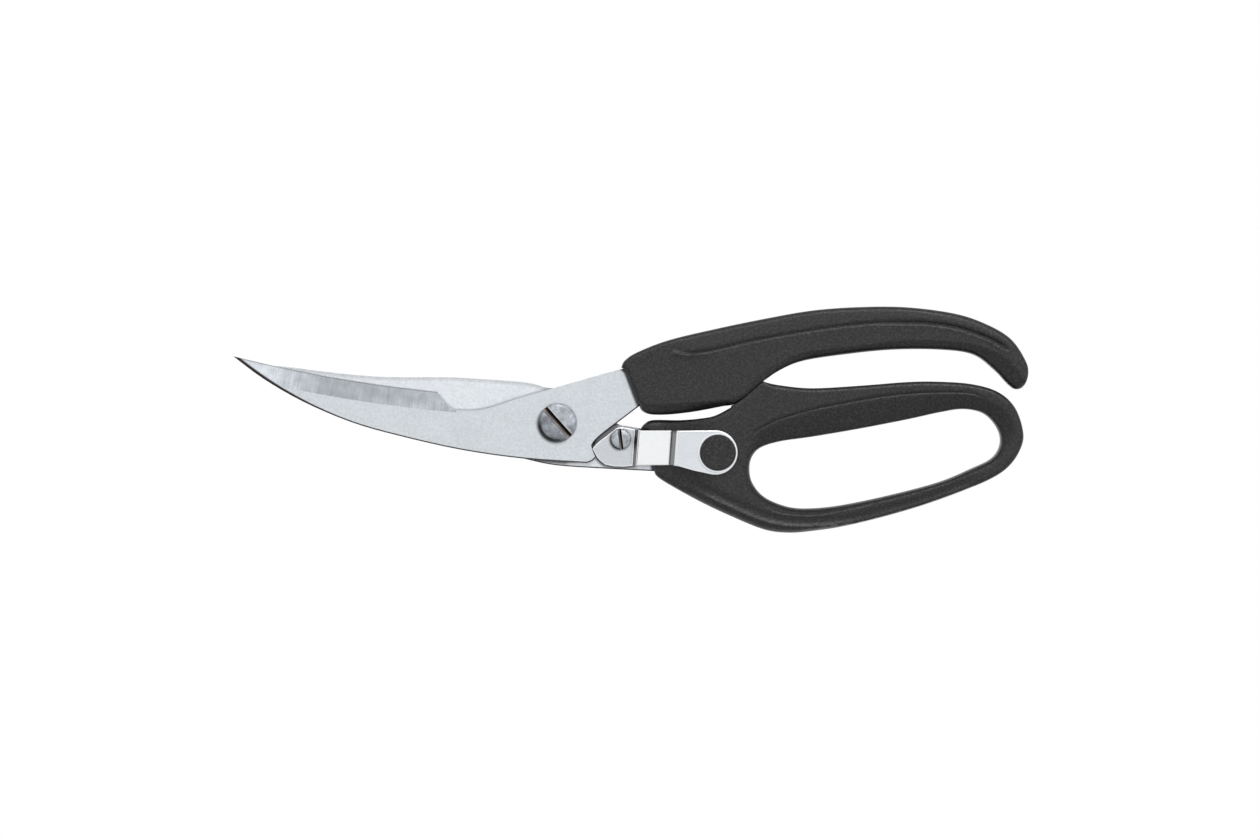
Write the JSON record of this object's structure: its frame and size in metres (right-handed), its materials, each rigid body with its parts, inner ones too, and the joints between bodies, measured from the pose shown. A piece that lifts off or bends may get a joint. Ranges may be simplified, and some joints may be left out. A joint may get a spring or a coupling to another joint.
{
  "type": "poultry shears",
  "caption": "Curved poultry shears with moulded handles, a finger loop, a slotted pivot, an inner opening spring and a bent latch lever with a thumb button.",
  "frame": {"origin": "on the pivot axis, at the centre of the pivot nut's flat back face", "axes": "+X from the pivot towards the handles, +Y from the finger loop towards the upper handle, +Z out of the front face"},
  "size_m": [0.25, 0.071, 0.0162],
  "materials": {
    "front_blade_steel": "satin stainless steel with a finely ground bevel",
    "rear_blade_steel": "satin stainless steel",
    "lever_steel": "satin stainless sheet",
    "screw_steel": "turned stainless steel",
    "spring_steel": "plain spring steel",
    "handle_plastic": "matt charcoal plastic with a fine grain",
    "button_plastic": "matt charcoal plastic with a fine grain"
  },
  "bodies": {
    "rear_half": {"rear_blade": "rear_blade_steel", "lower_handle": "handle_plastic", "pivot_screw": "screw_steel", "pivot_nut": "screw_steel", "pivot_disc_spring": "spring_steel", "opening_spring": "spring_steel", "stop_pin": "screw_steel", "latch_screw": "screw_steel", "latch_wave_washer": "spring_steel"},
    "front_half": {"front_blade": "front_blade_steel", "upper_handle": "handle_plastic"},
    "latch": {"latch_lever": "lever_steel", "latch_button": "button_plastic", "button_retainer": "spring_steel"}
  },
  "joints": [
    {"name": "blade_pivot", "type": "hinge", "parent": "rear_half", "child": "front_half", "pos_m": [0, 0, 0.006], "axis": [0, 0, 1], "range_deg": [0, 40]},
    {"name": "latch_pivot", "type": "hinge", "parent": "rear_half", "child": "latch", "pos_m": [0.01985, -0.0052, 0.0065], "axis": [0, 0, 1], "range_deg": [-8, 0]}
  ]
}
